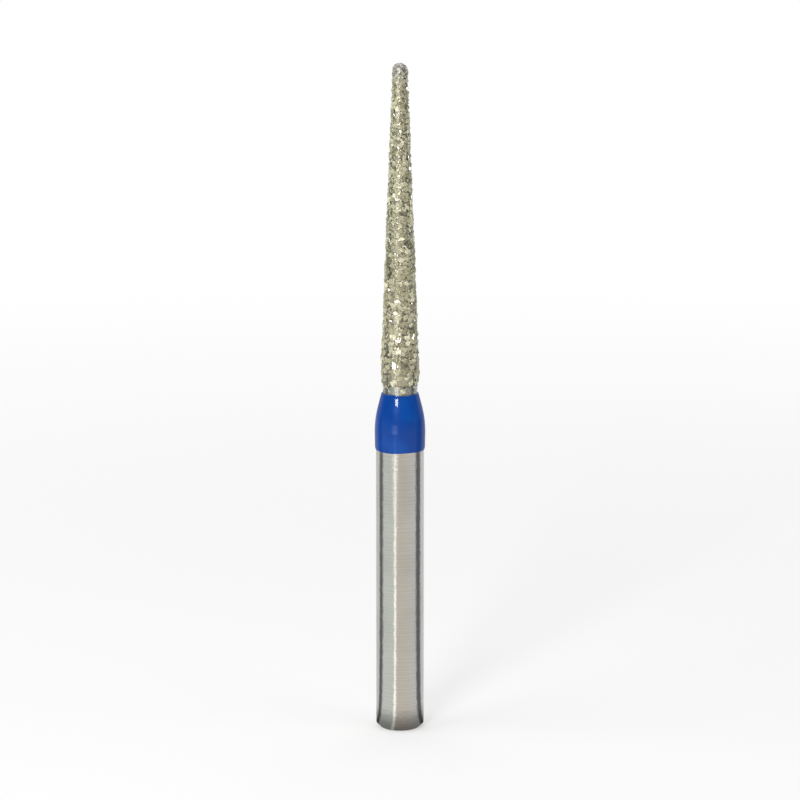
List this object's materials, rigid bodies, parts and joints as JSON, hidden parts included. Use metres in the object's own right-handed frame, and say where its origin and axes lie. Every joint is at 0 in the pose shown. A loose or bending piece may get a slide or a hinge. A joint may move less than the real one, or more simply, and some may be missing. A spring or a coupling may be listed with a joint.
{
  "type": "dental bur",
  "caption": "Slender tapered rotary bur with a round tip: a diamond-coated working head, a bare neck, a blue lacquer band and a plain round shank.",
  "frame": {"origin": "centre of the shank's free end, on its flat end face", "axes": "+Z along the bur's axis from the shank's free end to the tip of the head; the bur is round, so X and Y are free"},
  "size_m": [0.0016, 0.0016, 0.0225],
  "materials": {
    "steel": "finely ground stainless steel",
    "lacquer": "glossy deep blue lacquer",
    "grit": "pale straw diamond grains in a satin nickel bond"
  },
  "bodies": {
    "root": {"steel_blank": "steel", "lacquer_band": "lacquer", "diamond_coating": "grit"}
  },
  "joints": []
}
